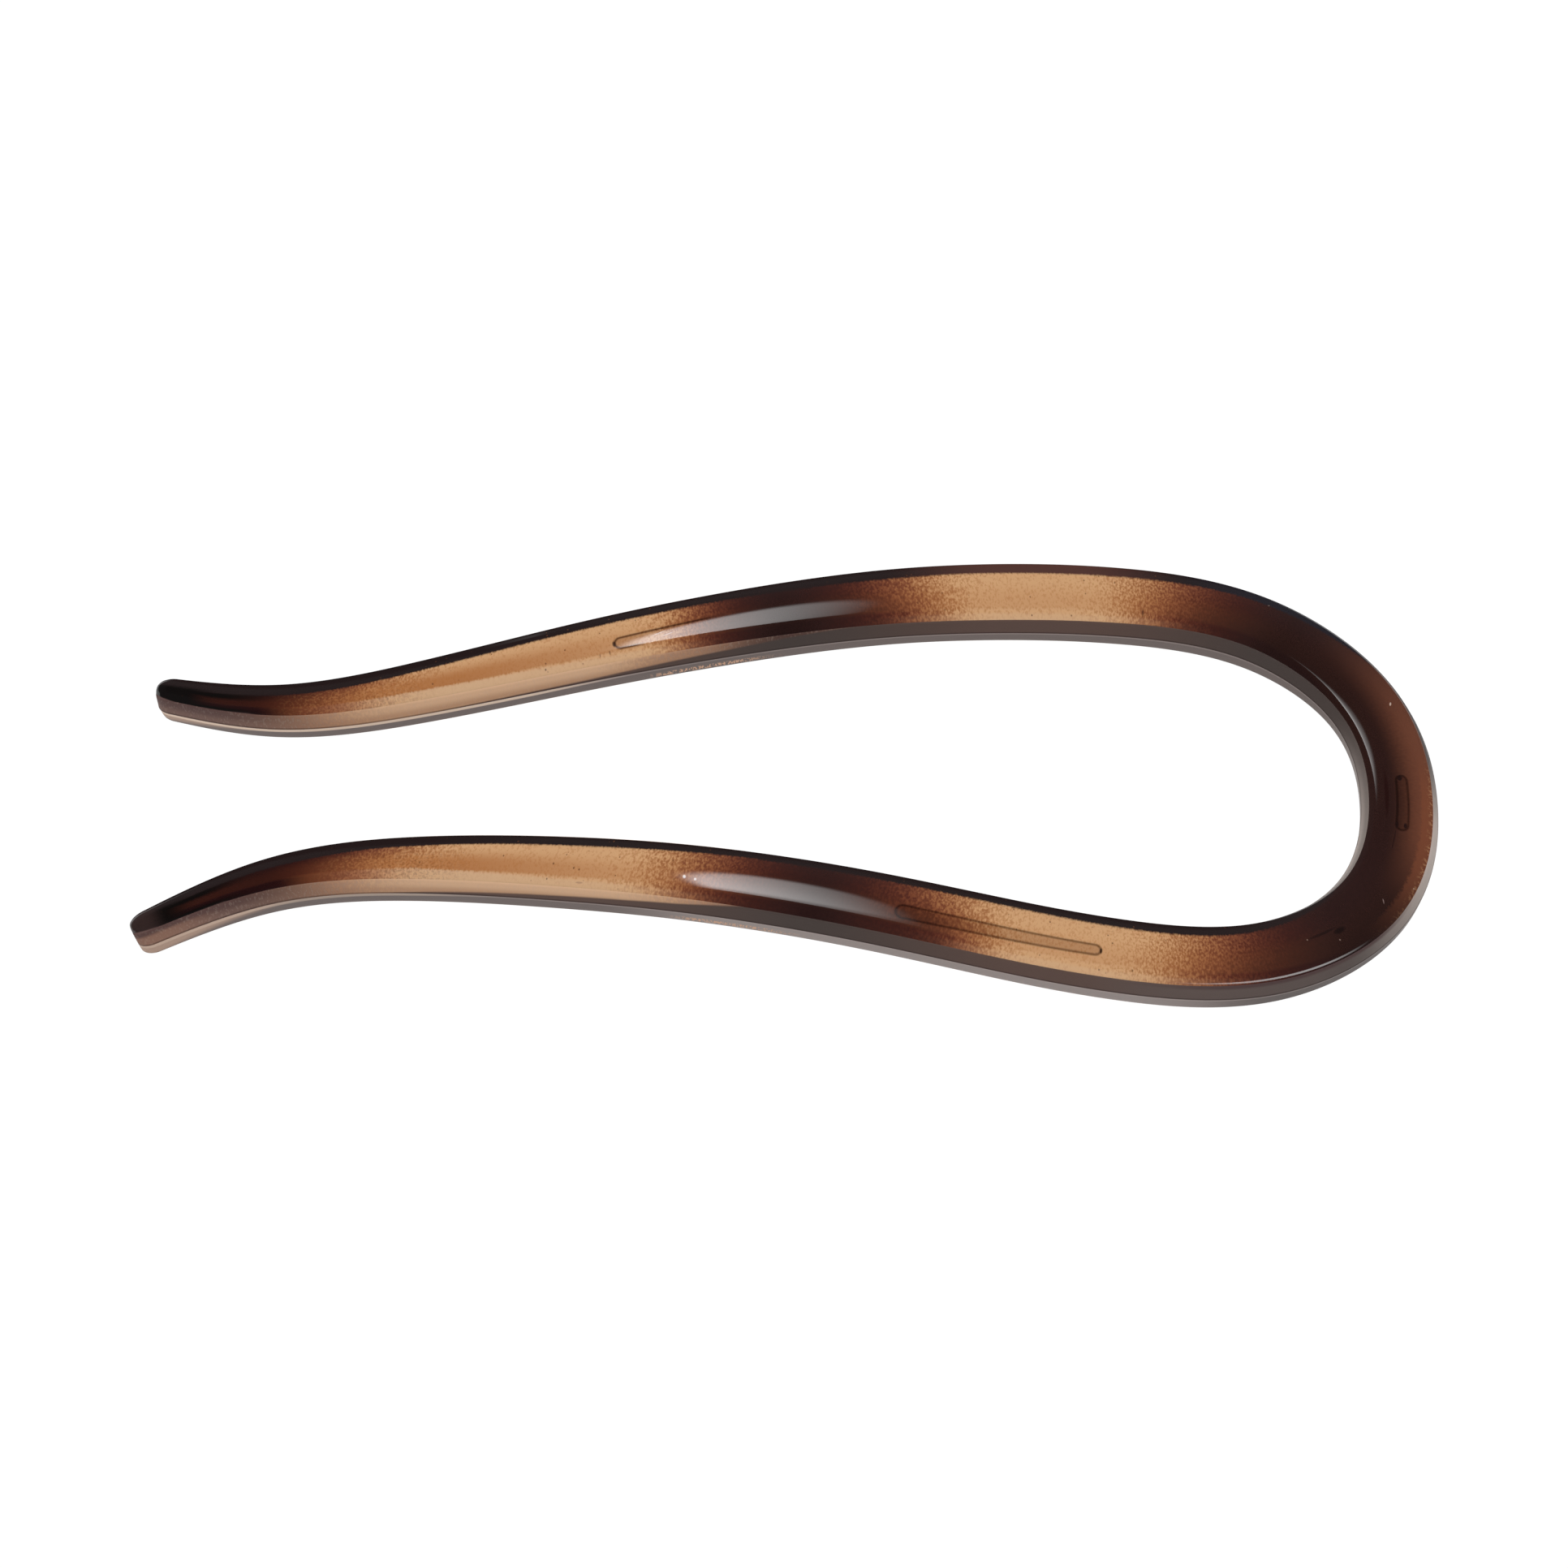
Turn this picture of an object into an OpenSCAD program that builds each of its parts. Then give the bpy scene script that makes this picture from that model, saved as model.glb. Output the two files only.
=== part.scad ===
// A french hair pin: one moulded plastic bar, bent into a long bow that is open at its tips.
// The bend is at +X, the two tips are at -X, and the pin is the same on both sides of y = 0.
// It lies on its tips and on the outer edge of the bend, and arches up between them.
// The origin is on the surface that it lies on, under the middle of the pin.

/* [Bow] */
// Length from the tips to the outside of the bend
pin_length = 130; // [115:1:145]
// Width over both legs, where they are widest apart
pin_width = 53.3; // [46:0.1:62]
// Height of the underside above the table at the top of the arch
arch_rise = 9.3; // [5:0.1:14]

/* [Leg section] */
// Width of a leg at its parting line, over the widest part of the bow
leg_width = 8.55; // [7:0.05:10]
// Height of the parting line above the underside
parting_height = 1.3; // [1:0.05:1.6]
// Height of the top edges above the underside
edge_height = 2.6; // [2.2:0.05:3.2]
// Rise of the middle of the top above its edges
crown_height = 0.6; // [0.3:0.05:1]
// The part of that rise which lies in the gently rounded face between the two creases
face_rise = 0.2; // [0.1:0.05:0.3]
// Draft of the upper walls, from the parting line in to the top edge
draft_inset = 0.6; // [0.3:0.05:0.8]
// Draft of the lower walls, from the parting line in to the underside
under_inset = 0.1; // [0.05:0.05:0.3]
// Size of the small rounding along the top edges
edge_round = 0.25; // [0.1:0.05:0.4]
// Size of the small rounding along the underside edges
under_round = 0.15; // [0.05:0.05:0.3]

/* [Tips] */
// Length of the rounding at the end of each tip
tip_round = 1.7; // [1.2:0.1:2]
// How far each side of a tip comes in at its very end
tip_corner = 1.05; // [0.6:0.05:1.2]
// Share of its thickness that a tip loses at its very end
tip_thinning = 0.3; // [0.1:0.05:0.4]

/* [Hidden] */

// One leg's guide rows, from the tip to the middle of the bend, as shares: how far along the
// length, how far across from the centre line, the leg's width and the depth of its section.
// The last two say where the creases of the top lie, inside and outside the bow.
//  along  across  width  depth  inner  outer
guide = [
  [0.000,  0.67,  0.45,  1.17,  0.60,  0.64],
  [0.105,  0.44,  0.63,  1.19,  0.60,  0.64],
  [0.220,  0.48,  0.76,  1.20,  0.60,  0.64],
  [0.340,  0.59,  0.87,  1.19,  0.60,  0.64],
  [0.445,  0.69,  0.92,  1.17,  0.60,  0.64],
  [0.565,  0.82,  0.97,  1.08,  0.61,  0.64],
  [0.665,  0.92,  1.01,  1.04,  0.62,  0.64],
  [0.770,  0.99,  1.01,  1.11,  0.63,  0.63],
  [0.885,  0.97,  0.97,  1.18,  0.64,  0.60],
  [0.980,  0.58,  0.95,  0.86,  0.84,  0.56],
  [1.000,  0.00,  0.91,  0.84,  0.79,  0.62]
];

// Guide heights of the arch at every tenth of the length, from the tips, as shares of its rise
arch = [0, 0.31, 0.58, 0.80, 0.97, 1.03, 0.97, 0.73, 0.45, 0.18, -0.02];

rings_per_row = 6;
face_steps = 4;
search_step = 0.1;

// Smooth lines: a cubic B-spline through the neighbourhood of each four guide rows

function unit(v) = v / norm(v);

function blend(t) =
  [pow(1 - t, 3), 3*pow(t, 3) - 6*t*t + 4, -3*pow(t, 3) + 3*t*t + 3*t + 1, pow(t, 3)] / 6;

function blend_rate(t) =
  [-pow(1 - t, 2), 3*t*t - 4*t, -3*t*t + 2*t + 1, t*t] / 2;

// A row past each end makes the smooth line start and stop on the first and last rows
function extended(rows) =
  let (last = len(rows) - 1)
  concat([2*rows[0] - rows[1]], rows, [2*rows[last] - rows[last - 1]]);

function spans(rows) = len(rows) - 3;
function span_at(u, rows) = min(floor(u), spans(rows) - 1);
function four_rows(u, rows) = [for (k = [0 : 3]) rows[span_at(u, rows) + k]];
function smooth(u, rows) = blend(u - span_at(u, rows)) * four_rows(u, rows);
function smooth_rate(u, rows) = blend_rate(u - span_at(u, rows)) * four_rows(u, rows);

// The centre line runs from one tip, round the bend, to the other tip

far_leg = [for (i = [len(guide) - 2 : -1 : 0])
  [guide[i][0], -guide[i][1], guide[i][2], guide[i][3], guide[i][4], guide[i][5]]];
path = extended(concat(guide, far_leg));
arch_path = extended(arch);

path_end = spans(path);
bend_row = smooth(path_end / 2, path);
widest_share = max([for (u = [0 : search_step : path_end]) smooth(u, path)[1]]);
arch_share = max([for (u = [0 : search_step : spans(arch_path)]) smooth(u, arch_path)]);

line_length = pin_length - bend_row[2] * leg_width / 2;
line_half_width = (pin_width - leg_width) / 2;
along_scale = line_length / bend_row[0];
across_scale = line_half_width / widest_share;
rise_scale = arch_rise / arch_share;
arch_rows_per_length = spans(arch_path) / line_length;

function height_at(x) = rise_scale * smooth(x * arch_rows_per_length, arch_path);
function slope_at(x) =
  rise_scale * arch_rows_per_length * smooth_rate(x * arch_rows_per_length, arch_path);

function centre_at(u) =
  let (row = smooth(u, path), x = row[0] * along_scale)
  [x, row[1] * across_scale, height_at(x)];

function forward_at(u) =
  let (rate = smooth_rate(u, path), x = smooth(u, path)[0] * along_scale)
  [rate[0] * along_scale, rate[1] * across_scale, slope_at(x) * rate[0] * along_scale];

// Straight up from the arched sheet, and out from the bow

function up_at(u) = unit([-slope_at(centre_at(u)[0]), 0, 1]);
function out_at(u) = unit(cross(up_at(u), forward_at(u)));

// The section of a leg: points as [out, up] from the middle of its underside

function rounded(from, corner, to, size) =
  let (a = corner + size * unit(from - corner), b = corner + size * unit(to - corner))
  [a, (a + 2*corner + b) / 4, b];

// The top is a gently rounded face between two creases, with a slanted shoulder outside each
function face_point(share, crease, half, depth) =
  [share * half, (edge_height + crown_height - face_rise * pow(share / crease, 2)) * depth];

// One side, from the underside up to just before the middle of the top
function section_side(half, depth, crease) =
  let (
    underside = [half - under_inset, 0],
    parting = [half, parting_height * depth],
    top_half = half - draft_inset,
    top_edge = [top_half, edge_height * depth],
    face = [for (k = [0 : face_steps - 1])
      face_point(crease * (1 - k / face_steps), crease, top_half, depth)]
  )
  concat(
    rounded([0, 0], underside, parting, under_round),
    [parting],
    rounded(parting, top_edge, face[0], edge_round),
    face
  );

function section(half, depth, inner, outer) =
  let (
    right = section_side(half, depth, outer),
    left = section_side(half, depth, inner),
    middle = [0, (edge_height + crown_height) * depth]
  )
  concat(right, [middle], [for (k = [len(left) - 1 : -1 : 0]) [-left[k][0], left[k][1]]]);

// Rings of points, each a section set square across the centre line. Near a tip they close in.

tip_rate = norm(forward_at(0));
tip_shares = [0, 0.1, 0.3, 0.6, 1];
tip_stations = [for (share = tip_shares) share * tip_round / tip_rate];
ring_stations = concat(
  tip_stations,
  [for (i = [1 : path_end * rings_per_row - 1]) i / rings_per_row],
  [for (k = [len(tip_stations) - 1 : -1 : 0]) path_end - tip_stations[k]]
);

function tip_ease(u) =
  let (gone = min(1, min(u, path_end - u) * tip_rate / tip_round))
  1 - sqrt(max(0, 1 - pow(1 - gone, 2)));

function ring(u) =
  let (
    row = smooth(u, path),
    half = row[2] * leg_width / 2,
    depth = row[3],
    ease = tip_ease(u),
    narrowing = 1 - ease * tip_corner / half,
    thinning = 1 - ease * tip_thinning,
    middle = parting_height * depth,
    centre = centre_at(u),
    out = out_at(u),
    up = up_at(u)
  )
  [for (q = section(half, depth, row[4], row[5]))
    centre + out * q[0] * narrowing + up * (middle + (q[1] - middle) * thinning)];

raw_rings = [for (u = ring_stations) ring(u)];

// Lay the pin level: its tips and the bend come down on the surface together

middle_ring = (len(raw_rings) - 1) / 2;
tip_low = min([for (i = [0 : rings_per_row]) for (p = raw_rings[i]) p[2]]);
bend_low = min([for (i = [middle_ring - rings_per_row : middle_ring]) for (p = raw_rings[i]) p[2]]);
level_slope = (bend_low - tip_low) / pin_length;
all_x = [for (r = raw_rings) for (p = r) p[0]];
middle_x = (min(all_x) + max(all_x)) / 2;

function level(p) = [p[0] - middle_x, p[1], p[2] - level_slope * p[0]];

level_rings = [for (r = raw_rings) [for (p = r) level(p)]];
lowest = min([for (r = level_rings) for (p = r) p[2]]);
rings = [for (r = level_rings) [for (p = r) p - [0, 0, lowest]]];
ring_size = len(rings[0]);
ring_count = len(rings);

function mean(points) = [for (i = [0 : 2]) [for (p = points) p[i]] * [for (p = points) 1]] / len(points);

function flattened(lists) = [for (l = lists) for (p = l) p];

function wall_faces() = [
  for (i = [0 : ring_count - 2])
    for (j = [0 : ring_size - 1])
      let (
        next = (j + 1) % ring_size,
        near = i * ring_size,
        far = near + ring_size
      )
      for (face = [[near + j, far + j, far + next], [near + j, far + next, near + next]]) face
];

function end_faces(first, centre, turn) = [
  for (j = [0 : ring_size - 1])
    let (next = (j + 1) % ring_size)
    turn ? [centre, first + next, first + j] : [centre, first + j, first + next]
];

module pin() {
  points = concat(flattened(rings), [mean(rings[0]), mean(rings[ring_count - 1])]);
  first_centre = ring_count * ring_size;
  faces = concat(
    wall_faces(),
    end_faces(0, first_centre, false),
    end_faces((ring_count - 1) * ring_size, first_centre + 1, true)
  );
  color("saddlebrown") polyhedron(points, faces);
}

pin();
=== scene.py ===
import math

import bpy
import numpy as np
from mathutils import Matrix, Vector


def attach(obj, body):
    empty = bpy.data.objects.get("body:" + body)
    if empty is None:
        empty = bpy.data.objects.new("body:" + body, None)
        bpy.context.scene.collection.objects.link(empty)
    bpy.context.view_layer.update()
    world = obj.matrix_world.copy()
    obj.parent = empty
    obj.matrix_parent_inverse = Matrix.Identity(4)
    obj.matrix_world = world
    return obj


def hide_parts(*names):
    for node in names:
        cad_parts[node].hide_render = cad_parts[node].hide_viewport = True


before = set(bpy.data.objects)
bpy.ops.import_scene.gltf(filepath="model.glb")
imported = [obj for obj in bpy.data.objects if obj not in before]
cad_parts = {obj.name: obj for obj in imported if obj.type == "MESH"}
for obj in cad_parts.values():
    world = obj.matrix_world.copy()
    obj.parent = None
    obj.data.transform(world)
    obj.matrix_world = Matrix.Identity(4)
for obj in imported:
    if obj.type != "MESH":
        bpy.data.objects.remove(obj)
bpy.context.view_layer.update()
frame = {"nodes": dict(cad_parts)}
print("frame loaded:", ", ".join(frame["nodes"]))


# Shape of the bow, in millimetres

bowShape = {
    "pinLength": 130.0,
    "pinWidth": 53.3,
    "archRise": 9.3,
    "legWidth": 8.55,
    "partingHeight": 1.3,
    "edgeHeight": 2.6,
    "crownHeight": 0.6,
    "faceRise": 0.2,  # the part of the crown that lies in the face between its two creases
    "draftInset": 0.6,
    "underInset": 0.1,
    "edgeRound": 0.30,
    "bendEdgeRound": 0.32,  # added to it along the outside of the bend, over the guide rows beside it
    "bendRows": 4,
    "creaseRound": 0.12,
    "creaseUsual": 0.64,
    "creaseReach": 2.5,  # how much further a crease past the usual share is rounded on the face
    "underRound": 0.22,
    "partingProud": 0.035,  # how far the moulding line stands out of the walls
    "partingBand": 0.07,  # half of its height
    "tipRound": 1.7,
    "tipCorner": 1.05,
    "tipThinning": 0.3,
    "insideSolid": 0.9996,  # a hair smaller than the solid, so as not to stand out of its box
    "underSteps": 6,
    "edgeSteps": 10,
    "creaseSteps": 8,
    # where the points lie on the underside, the low wall, the other flat stretches and the face
    "underShares": (0, 0.3, 0.6, 0.85),
    "lowShares": (0.15, 0.5, 0.85),
    "flatShares": (0.12, 0.4, 0.7, 0.92),
    "faceShares": (0.88, 0.76, 0.63, 0.5, 0.38, 0.25, 0.12, 0.0),
    "highestWall": 1.97,
    "walkPoints": 4001,
    "ringsPerRow": 36,
    "tipRings": 22,
    "capShares": (0.9, 0.45),  # the sizes of the two smaller rings that close each end
}

# One leg, from the tip to the middle of the bend: along, across, width, depth, and where the creases
# of the top lie inside and outside the bow, as shares
legGuide = np.array([
    [0.000, 0.67, 0.45, 1.17, 0.60, 0.64],
    [0.105, 0.44, 0.63, 1.19, 0.60, 0.64],
    [0.220, 0.48, 0.76, 1.20, 0.60, 0.64],
    [0.340, 0.59, 0.87, 1.19, 0.60, 0.64],
    [0.445, 0.69, 0.92, 1.17, 0.60, 0.64],
    [0.565, 0.82, 0.97, 1.08, 0.61, 0.64],
    [0.665, 0.92, 1.01, 1.04, 0.62, 0.64],
    [0.770, 0.99, 1.01, 1.11, 0.63, 0.63],
    [0.885, 0.97, 0.97, 1.18, 0.64, 0.60],
    [0.980, 0.58, 0.95, 0.86, 0.84, 0.56],
    [1.000, 0.00, 0.91, 0.84, 0.79, 0.62],
])
archGuide = np.array([[0], [0.31], [0.58], [0.80], [0.97], [1.03], [0.97], [0.73], [0.45], [0.18], [-0.02]])


def extendRows(rows):
    # one more row past each end, so that the smooth line starts and stops on the end rows
    return np.vstack([2 * rows[0] - rows[1], rows, 2 * rows[-1] - rows[-2]])


def smoothRows(u, rows, rate=False):
    # uniform cubic B-spline of the rows at u, or its rate of change
    start = np.minimum(np.floor(u).astype(int), len(rows) - 4)
    t = (u - start)[:, None]
    if rate:
        weights = [-(1 - t) ** 2 / 2, (3 * t**2 - 4 * t) / 2, (-3 * t**2 + 2 * t + 1) / 2, t**2 / 2]
    else:
        weights = [(1 - t) ** 3 / 6, (3 * t**3 - 6 * t**2 + 4) / 6,
                   (-3 * t**3 + 3 * t**2 + 3 * t + 1) / 6, t**3 / 6]
    return sum(weights[k] * rows[start + k] for k in range(4))


def toUnit(vectors):
    return vectors / np.linalg.norm(vectors, axis=-1, keepdims=True)


farGuide = legGuide[-2::-1] * [1, -1, 1, 1, 1, 1]
bowPath = extendRows(np.vstack([legGuide, farGuide]))
archPath = extendRows(archGuide)
pathEnd = len(bowPath) - 3
archRows = len(archPath) - 3
bendRow = smoothRows(np.array([pathEnd / 2]), bowPath)[0]
lineLength = bowShape["pinLength"] - bendRow[2] * bowShape["legWidth"] / 2
alongScale = lineLength / bendRow[0]
widestShare = smoothRows(np.arange(0, pathEnd + 0.01, 0.1), bowPath)[:, 1].max()
acrossScale = (bowShape["pinWidth"] - bowShape["legWidth"]) / 2 / widestShare
riseScale = bowShape["archRise"] / smoothRows(np.arange(0, archRows + 0.01, 0.1), archPath).max()


def archHeight(x):
    return riseScale * smoothRows(x * archRows / lineLength, archPath)[:, 0]


def archSlope(x):
    return riseScale * archRows / lineLength * smoothRows(x * archRows / lineLength, archPath, True)[:, 0]


def bowFrame(u):
    # centre of the underside, the way along, the way out of the bow, and the way up from the arch
    row, rate = smoothRows(u, bowPath), smoothRows(u, bowPath, True)
    x, onward = row[:, 0] * alongScale, rate[:, 0] * alongScale
    slope = archSlope(x)
    centre = np.stack([x, row[:, 1] * acrossScale, archHeight(x)], 1)
    forward = np.stack([onward, rate[:, 1] * acrossScale, slope * onward], 1)
    up = toUnit(np.stack([-slope, 0 * slope, 1 + 0 * slope], 1))
    out = toUnit(np.cross(up, forward))
    return centre, forward, out, up


def cornerCurve(first, corner, last, steps):
    # quadratic curve from first to last, drawn towards the corner
    return [(1 - t) ** 2 * first + 2 * t * (1 - t) * corner + t**2 * last for t in np.linspace(0, 1, steps)]


def roundedCorner(before, corner, after, size, steps):
    # a curve that leaves the corner's two sides at the given distance from it
    first, last = (corner + size * toUnit(side - corner) for side in (before, after))
    return cornerCurve(first, corner, last, steps)


def sectionSide(half, depth, crease, edgeRound):
    # one side of the section as [out, up] points, from the middle of the underside to the crown,
    # and for each point its share of the wall's height: 0 underside, 1 parting line, 2 top edge
    shape = bowShape
    zero = 0 * half

    def at(out, up):
        return np.stack([out + zero, up + zero], 1)

    def between(first, last, shares):
        return [first + (last - first) * share for share in shares]

    wall = half - shape["partingProud"]
    top = half - shape["draftInset"]
    parting = shape["partingHeight"] * depth
    band = shape["partingBand"]
    underEdge = at(half - shape["underInset"], zero)
    lowBand, highBand = at(wall, parting - band), at(wall, parting + band)
    topEdge = at(top, shape["edgeHeight"] * depth)

    def face(share):
        # gently rounded between the creases, as a parabola
        height = shape["edgeHeight"] + shape["crownHeight"] - shape["faceRise"] * share**2
        return at(share * crease * top, height * depth)

    under = [underEdge * [share, 1] for share in shape["underShares"]]
    underCorner = roundedCorner(at(zero, zero), underEdge, lowBand, shape["underRound"],
                                shape["underSteps"])
    lowWall = between(underCorner[-1], lowBand, shape["lowShares"])
    rounded = half - 0.3 * shape["partingProud"]
    partingLine = [lowBand, at(rounded, parting - 0.5 * band), at(half, parting),
                   at(rounded, parting + 0.5 * band), highBand]
    edgeCorner = roundedCorner(highBand, topEdge, face(1), edgeRound, shape["edgeSteps"])
    edgeMiddle = shape["edgeSteps"] // 2
    highWall = between(highBand, edgeCorner[0], shape["flatShares"])
    reach = shape["creaseRound"] + shape["creaseReach"] * np.maximum(crease - shape["creaseUsual"], 0)
    faceEnd = 1 - reach / (crease * top)
    creaseStart = face(1) + shape["creaseRound"] * toUnit(topEdge - face(1))
    creaseCorner = cornerCurve(creaseStart, face(1), face(faceEnd), shape["creaseSteps"])
    shoulder = between(edgeCorner[-1], creaseCorner[0], shape["flatShares"])
    crown = [face(faceEnd * share) for share in shape["faceShares"]]
    walls = under + underCorner + lowWall + partingLine + highWall + edgeCorner[:edgeMiddle]
    points = np.stack(walls + edgeCorner[edgeMiddle:] + shoulder + creaseCorner + crown, 1)

    # the height share follows the true height up to the middle of the top edge's rounding, and stays
    # below the 2 of the polished top
    up, line, edge = points[..., 1], parting[:, None], (shape["edgeHeight"] * depth)[:, None]
    heights = np.where(up < line, up / line, 1 + (up - line) / (edge - line))
    heights = np.clip(heights, 0, shape["highestWall"])
    heights[:, len(walls):] = 2
    return points, heights


def tipEase(u):
    # 0 along the leg, rising as a quarter circle to 1 at the very end of each tip
    tipRate = np.linalg.norm(bowFrame(np.zeros(1))[1][0])
    gone = np.minimum(1, np.minimum(u, pathEnd - u) * tipRate / bowShape["tipRound"])
    return 1 - np.sqrt(np.maximum(0, 1 - (1 - gone) ** 2)), tipRate


def sweptRings(u):
    # the section carried along the path, each ring square across it, closing in towards the tips
    shape = bowShape
    row = smoothRows(u, bowPath)
    half, depth = row[:, 2] * shape["legWidth"] / 2, row[:, 3]
    ease = tipEase(u)[0]
    bend = np.clip(1 - abs(u - pathEnd / 2) / shape["bendRows"], 0, 1)[:, None]
    edgeRound = shape["edgeRound"] + shape["bendEdgeRound"] * bend**2 * (3 - 2 * bend)
    outer, outerHeights = sectionSide(half, depth, row[:, 5], edgeRound)
    inner, innerHeights = sectionSide(half, depth, row[:, 4], shape["edgeRound"])
    section = np.concatenate([outer, inner[:, -2:0:-1] * [-1, 1]], 1)
    heights = np.concatenate([outerHeights, innerHeights[:, -2:0:-1]], 1)
    middle = (shape["partingHeight"] * depth)[:, None]
    outWay = section[..., 0] * (1 - ease * shape["tipCorner"] / half)[:, None]
    upWay = middle + (section[..., 1] - middle) * (1 - ease * shape["tipThinning"])[:, None]
    centre, _, out, up = bowFrame(u)
    points = centre[:, None] + out[:, None] * outWay[..., None] + up[:, None] * upWay[..., None]
    topHalf = ((half - shape["draftInset"]) * (1 - ease * shape["tipCorner"] / half))[:, None]
    across = np.clip(outWay / topHalf, -1, 1)
    return points, outWay, upWay, across, across * out[:, 1:2], heights


def levelled(points, ringsAt):
    # shear the bow so that its tips and its bend both touch the table, then centre it
    tipLow = points[ringsAt < 1, :, 2].min()
    bendLow = points[abs(ringsAt - pathEnd / 2) < 1, :, 2].min()
    slope = (bendLow - tipLow) / bowShape["pinLength"]
    x = points[..., 0]
    middleX = (x.min() + x.max()) / 2
    moved = points - np.stack([middleX + 0 * x, 0 * x, slope * x], -1)
    return (moved - [0, 0, moved[..., 2].min()]) * bowShape["insideSolid"]


def barStations():
    tipRate = tipEase(np.zeros(1))[1]
    tipLength = bowShape["tipRound"] / tipRate
    tip = tipLength * (1 - np.cos(np.linspace(0, math.pi / 2, bowShape["tipRings"])))
    rest = np.linspace(tipLength, pathEnd - tipLength, pathEnd * bowShape["ringsPerRow"])[1:-1]
    return np.concatenate([tip, rest, pathEnd - tip[::-1]])


def buildBar():
    stations = barStations()
    points, outWay, upWay, across, farShare, heights = sweptRings(stations)
    points = levelled(points, stations)
    fine = np.linspace(0, pathEnd, bowShape["walkPoints"])
    walked = np.concatenate([[0], np.cumsum(np.linalg.norm(np.diff(bowFrame(fine)[0], axis=0), axis=1))])
    along = np.broadcast_to(np.interp(stations, fine, walked)[:, None], outWay.shape)
    rings, size = outWay.shape
    flow = np.stack([along, outWay, upWay], -1)
    share = np.stack([across, farShare, heights], -1)

    # each end is closed by two smaller rings and a middle point in the plane of the last ring
    def capped(values):
        layers = [values.reshape(rings * size, -1)]
        for end in (values[0], values[-1]):
            middle = end.mean(0)
            layers += [middle + (end - middle) * share for share in bowShape["capShares"]] + [middle[None]]
        return np.concatenate(layers)

    ring, place = np.meshgrid(np.arange(rings - 1), np.arange(size), indexing="ij")
    here, beside = ring * size + place, ring * size + (place + 1) % size
    quads = [np.stack([here, here + size, beside + size, beside], -1).reshape(-1, 4)]
    around = np.arange(size)
    following = (around + 1) % size
    fans = []
    for end, first in enumerate((0, (rings - 1) * size)):
        start = rings * size + end * (2 * size + 1)
        for outer, inner in ((first, start), (start, start + size)):
            quad = np.stack([outer + around, outer + following, inner + following, inner + around], 1)
            quads.append(quad if end == 0 else quad[:, ::-1])
        centre = np.full(size, start + 2 * size)
        fan = np.stack([start + size + around, start + size + following, centre], 1)
        fans.append(fan if end == 0 else fan[:, ::-1])
    faces = [np.concatenate(quads), np.concatenate(fans)]

    mesh = bpy.data.meshes.new("tortoiseshellBar")
    mesh.from_pydata((capped(points) / 1000).tolist(), [], faces[0].tolist() + faces[1].tolist())
    for name, values in (("flow", flow), ("share", share)):
        layer = mesh.attributes.new(name, "FLOAT_VECTOR", "POINT")
        layer.data.foreach_set("vector", capped(values).astype(np.float32).ravel())
    mesh.polygons.foreach_set("use_smooth", np.ones(len(mesh.polygons), bool))
    mesh.update()

    # the crown and the upper half of its rounded edges are polished, and all the rest is satin
    height = capped(share)[:, 2]
    return mesh, np.concatenate([height[corners].min(1) >= 2 for corners in faces])


mesh, polished = buildBar()
bar = bpy.data.objects.new("tortoiseshellBar", mesh)
bpy.context.scene.collection.objects.link(bar)
print("bar:", len(mesh.vertices), "points,", len(mesh.polygons), "faces,", int(polished.sum()), "polished")


# Short ways to write nodes

def linear(red, green, blue):
    # a screen colour from 0 to 255, as the linear colour that a shader takes
    return tuple(((c / 255 + 0.055) / 1.055) ** 2.4 if c > 10 else c / 255 / 12.92
                 for c in (red, green, blue)) + (1.0,)


def addNode(tree, kind, settings=None, inputs=None):
    made = tree.nodes.new(kind)
    for name, value in (settings or {}).items():
        setattr(made, name, value)
    for name, value in (inputs or {}).items():
        feed(made.inputs[name], value)
    return made


def feed(socket, value):
    if isinstance(value, bpy.types.NodeSocket):
        socket.id_data.links.new(value, socket)
    else:
        socket.default_value = value


def treeOf(values):
    # the node tree that the first socket among the values belongs to
    return next(value.id_data for value in values if isinstance(value, bpy.types.NodeSocket))


def maths(operation, *values, clamp=False):
    settings = {"operation": operation, "use_clamp": clamp}
    return addNode(treeOf(values), "ShaderNodeMath", settings, dict(enumerate(values))).outputs[0]


def minus(first, second):
    return maths("SUBTRACT", first, second)


def most(first, second):
    return maths("MAXIMUM", first, second)


def times(first, *others):
    for value in others:
        first = maths("MULTIPLY", first, value)
    return first


def sloped(value, slope, start):
    # the slope times the value, added to the start
    return maths("MULTIPLY_ADD", value, slope, start)


def diagonal(first, second):
    # the square root of the sum of both squares
    return maths("SQRT", maths("ADD", times(first, first), times(second, second)))


def step(value, low, high):
    # 0 at low and 1 at high, smoothly, whichever of the two is the larger
    made = addNode(value.id_data, "ShaderNodeMapRange", {"interpolation_type": "SMOOTHSTEP"},
                   {"Value": value, "From Min": low, "From Max": high})
    return made.outputs["Result"]


def zones(value, *ranges):
    # 1 inside any of the ranges. A range of two numbers goes from none to full between them. A range
    # of four goes from none to full between the first two, and back between the last two.
    result = None
    for limits in ranges:
        mask = step(value, *limits[:2])
        if len(limits) == 4:
            mask = times(mask, step(value, limits[3], limits[2]))
        result = mask if result is None else most(result, mask)
    return result


def mixed(share, first, second):
    return addNode(share.id_data, "ShaderNodeMix", None, {0: share, 2: first, 3: second}).outputs[0]


def blendColours(share, first, second, way="MIX"):
    settings = {"data_type": "RGBA", "blend_type": way, "clamp_factor": True}
    tree = treeOf((share, first, second))
    return addNode(tree, "ShaderNodeMix", settings, {"Factor": share, 6: first, 7: second}).outputs[2]


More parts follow.
